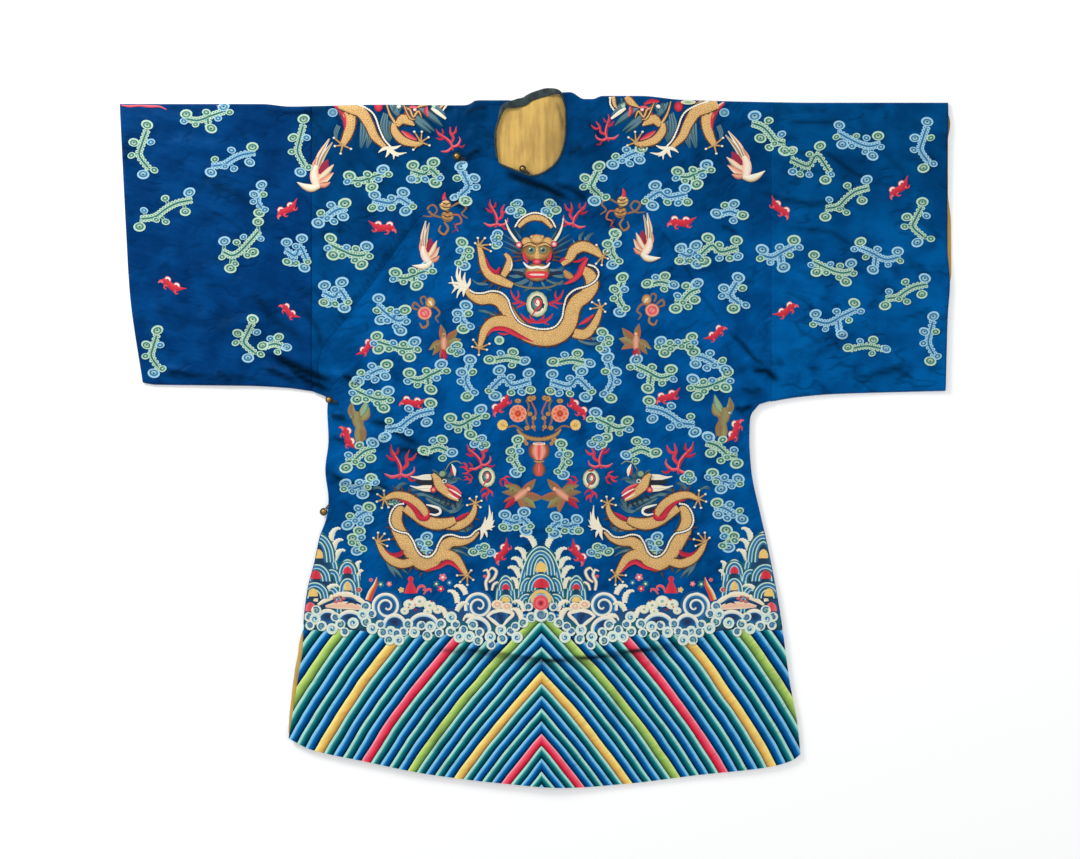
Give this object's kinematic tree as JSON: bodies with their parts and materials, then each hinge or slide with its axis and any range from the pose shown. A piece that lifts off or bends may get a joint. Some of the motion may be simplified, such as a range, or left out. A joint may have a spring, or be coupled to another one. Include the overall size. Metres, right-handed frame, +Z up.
{
  "type": "chinese dragon robe",
  "caption": "Blue silk dragon robe laid out flat, front up, with spread sleeves, a side-fastening flap, ball buttons, yellow lining and all-over embroidery.",
  "frame": {"origin": "centre of the footprint, on the surface that the robe lies on", "axes": "+X towards the wearer's left sleeve, +Y from hem to shoulders, +Z up out of the front"},
  "size_m": [1.3296, 1.118, 0.0136],
  "materials": {
    "blue_satin": "lustrous silk satin",
    "yellow_lining": "plain silk",
    "black_satin": "satin binding and cord",
    "gilt_brass": "worn gilding",
    "embroidery_silk": "floss silk satin stitch"
  },
  "bodies": {
    "root": {"front_left": "blue_satin", "front_overlap": "blue_satin", "front_right_under": "blue_satin", "back_left": "blue_satin", "back_right": "blue_satin", "sleeve_left": "blue_satin", "sleeve_right": "blue_satin", "lining_neck": "yellow_lining", "lining_side_slit": "yellow_lining", "lining_cuff": "yellow_lining", "neck_binding": "black_satin", "button_neck": "gilt_brass", "button_chest": "gilt_brass", "button_underarm": "gilt_brass", "button_side": "gilt_brass", "loop_neck": "black_satin", "loop_chest": "black_satin", "loop_underarm": "black_satin", "loop_side": "black_satin"}
  },
  "joints": []
}
